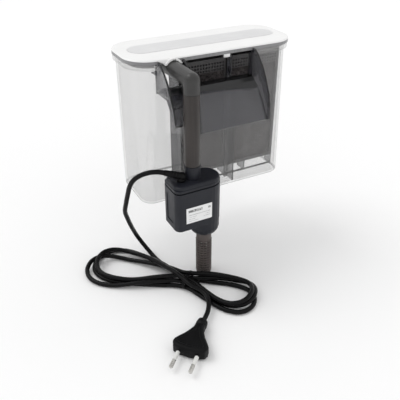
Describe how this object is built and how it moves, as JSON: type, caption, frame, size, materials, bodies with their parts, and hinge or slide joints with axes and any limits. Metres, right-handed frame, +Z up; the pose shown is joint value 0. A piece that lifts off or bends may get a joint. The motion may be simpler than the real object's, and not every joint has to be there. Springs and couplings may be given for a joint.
{
  "type": "hang on back aquarium filter",
  "caption": "Clear box that hangs outside a tank's rim, with a spillway, filter cartridges, lid, intake pipe and a submersible pump on a cord.",
  "frame": {"origin": "on the flat underside of the hook's seat, where the tank's rim bears, in line with the intake pipe and midway across the slot for the glass", "axes": "+X along the box, +Y away from the tank, +Z up"},
  "size_m": [0.2568, 0.2437, 0.2363],
  "materials": {
    "clear_plastic": "clear, polished",
    "smoked_plastic": "smoked, clear",
    "white_plastic": "glossy",
    "grey_inlay": "satin",
    "brown_plastic": "satin",
    "pump_plastic": "satin",
    "black_plastic": "satin",
    "black_rubber": "satin",
    "sponge": "open-cell foam",
    "carbon": "granules in a mesh bag",
    "ceramic": "polished ceramic",
    "magnet": "sintered",
    "steel": "laminated",
    "copper": "enamelled wire",
    "nickel": "plated"
  },
  "bodies": {
    "housing": {"reservoir_body": "clear_plastic", "spillway_hook": "smoked_plastic", "divider_frame": "smoked_plastic", "intake_elbow": "brown_plastic", "riser_pipe": "brown_plastic"},
    "cartridges": {"cartridge_frame_left": "smoked_plastic", "sponge_pad_left": "sponge", "carbon_pack_left": "carbon", "cartridge_frame_right": "smoked_plastic", "sponge_pad_right": "sponge", "carbon_pack_right": "carbon"},
    "lid": {"lid_shell": "white_plastic", "lid_inlay": "grey_inlay"},
    "pump": {"pump_housing": "pump_plastic", "pump_cap": "pump_plastic", "cap_gasket": "black_rubber", "stator_core": "steel", "stator_coil": "copper", "inlet_cover": "pump_plastic", "strainer": "brown_plastic", "label_plate": "white_plastic", "cable_gland": "black_rubber", "cord_lead": "black_rubber", "cord_hank": "black_rubber", "cable_tie": "black_plastic", "cord_tail": "black_rubber", "plug_body": "black_plastic", "plug_neck": "black_rubber", "plug_pin_left": "nickel", "pin_sleeve_left": "white_plastic", "plug_pin_right": "nickel", "pin_sleeve_right": "white_plastic"},
    "rotor": {"rotor_magnet": "magnet", "rotor_shaft": "ceramic", "impeller": "white_plastic"}
  },
  "joints": [
    {"name": "cartridge_lift", "type": "slide", "parent": "housing", "child": "cartridges", "axis": [0, 0, 1], "range_m": [0, 0.12]},
    {"name": "lid_lift", "type": "slide", "parent": "cartridges", "child": "lid", "axis": [0, 0, 1], "range_m": [0, 0.06]},
    {"name": "pump_swivel", "type": "hinge", "parent": "housing", "child": "pump", "pos_m": [0, -0.031, -0.062], "axis": [0, 0, 1], "range_deg": [-20, 20]},
    {"name": "rotor_spin", "type": "hinge", "parent": "pump", "child": "rotor", "pos_m": [0.0133, -0.031, -0.11], "axis": [0, 0, 1], "continuous": true}
  ]
}
